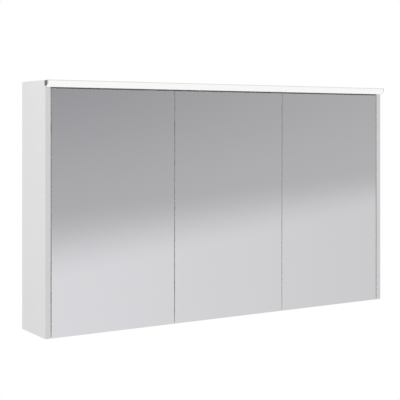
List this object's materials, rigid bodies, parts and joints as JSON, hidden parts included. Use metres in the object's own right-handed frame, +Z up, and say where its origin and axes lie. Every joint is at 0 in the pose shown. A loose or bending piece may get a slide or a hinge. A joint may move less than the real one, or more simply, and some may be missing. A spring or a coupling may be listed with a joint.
{
  "type": "illuminated bathroom mirror cabinet",
  "caption": "Wall-hung bathroom cabinet with mirror doors on concealed hinges, glass shelves inside and a slim light along the top front edge.",
  "frame": {"origin": "middle of the wall plane, which is the middle of the four wall screw holes", "axes": "+X to the right seen from the front, +Y into the wall, +Z up; the mirrors face -Y"},
  "size_m": [1.2, 0.181, 0.7],
  "materials": {
    "white_board": "white lacquered board",
    "mirror_glass": "silvered glass with ground edges",
    "shelf_glass": "clear glass with ground edges",
    "light_white": "white powder coat on aluminium",
    "opal_cover": "opal plastic, lit from behind",
    "cap_grey": "dark grey moulding",
    "led_white": "white solder mask",
    "white_plastic": "satin moulding",
    "white_gloss_plastic": "gloss moulding",
    "lead_sheath": "soft sheath",
    "nickel": "nickel plated",
    "steel": "zinc plated",
    "soft_rubber": "translucent soft pad",
    "dark_rubber": "soft moulding"
  },
  "bodies": {
    "cabinet": {"left_side_panel": "white_board", "right_side_panel": "white_board", "top_panel": "white_board", "bottom_panel": "white_board", "left_partition": "white_board", "right_partition": "white_board", "back_panel": "white_board", "wall_plates": "steel", "cam_fittings": "steel", "left_lower_shelf": "shelf_glass", "left_upper_shelf": "shelf_glass", "middle_lower_shelf": "shelf_glass", "middle_upper_shelf": "shelf_glass", "right_lower_shelf": "shelf_glass", "right_upper_shelf": "shelf_glass", "shelf_supports": "nickel", "light_profile": "light_white", "light_diffuser": "opal_cover", "led_board": "led_white", "light_end_caps": "cap_grey", "light_screws": "steel", "led_driver_case": "white_plastic", "terminal_block": "white_plastic", "driver_lead": "lead_sheath", "led_lead": "lead_sheath", "switch_lead": "lead_sheath", "supply_grommet": "dark_rubber", "lead_grommet": "dark_rubber", "cable_clips": "white_plastic", "socket_box": "white_plastic", "socket_outlet": "white_gloss_plastic", "switch_frame": "white_gloss_plastic", "hinge_arms": "nickel", "hinge_arm_screws": "steel", "magnet_catches": "white_plastic"},
    "left_door": {"left_door_core": "white_board", "left_door_mirror": "mirror_glass", "left_door_inner_mirror": "mirror_glass", "left_hinge_bodies": "nickel", "left_hinge_pins": "steel", "left_hinge_screws": "steel", "left_door_bumpers": "soft_rubber", "left_strike_plate": "steel"},
    "middle_door": {"middle_door_core": "white_board", "middle_door_mirror": "mirror_glass", "middle_door_inner_mirror": "mirror_glass", "middle_hinge_bodies": "nickel", "middle_hinge_pins": "steel", "middle_hinge_screws": "steel", "middle_door_bumpers": "soft_rubber", "middle_strike_plate": "steel"},
    "right_door": {"right_door_core": "white_board", "right_door_mirror": "mirror_glass", "right_door_inner_mirror": "mirror_glass", "right_hinge_bodies": "nickel", "right_hinge_pins": "steel", "right_hinge_screws": "steel", "right_door_bumpers": "soft_rubber", "right_strike_plate": "steel"},
    "rocker": {"switch_rocker": "white_gloss_plastic"}
  },
  "joints": [
    {"name": "left_door_hinge", "type": "hinge", "parent": "cabinet", "child": "left_door", "pos_m": [-0.56903, -0.157, 0], "axis": [0, 0, -1], "range_deg": [0, 105]},
    {"name": "middle_door_hinge", "type": "hinge", "parent": "cabinet", "child": "middle_door", "pos_m": [-0.1807, -0.157, 0], "axis": [0, 0, -1], "range_deg": [0, 105]},
    {"name": "right_door_hinge", "type": "hinge", "parent": "cabinet", "child": "right_door", "pos_m": [0.56903, -0.157, 0], "axis": [0, 0, 1], "range_deg": [0, 105]},
    {"name": "switch_tilt", "type": "hinge", "parent": "cabinet", "child": "rocker", "pos_m": [0.29417, -0.053, 0.28], "axis": [-1, 0, 0], "range_deg": [0, 12]}
  ]
}
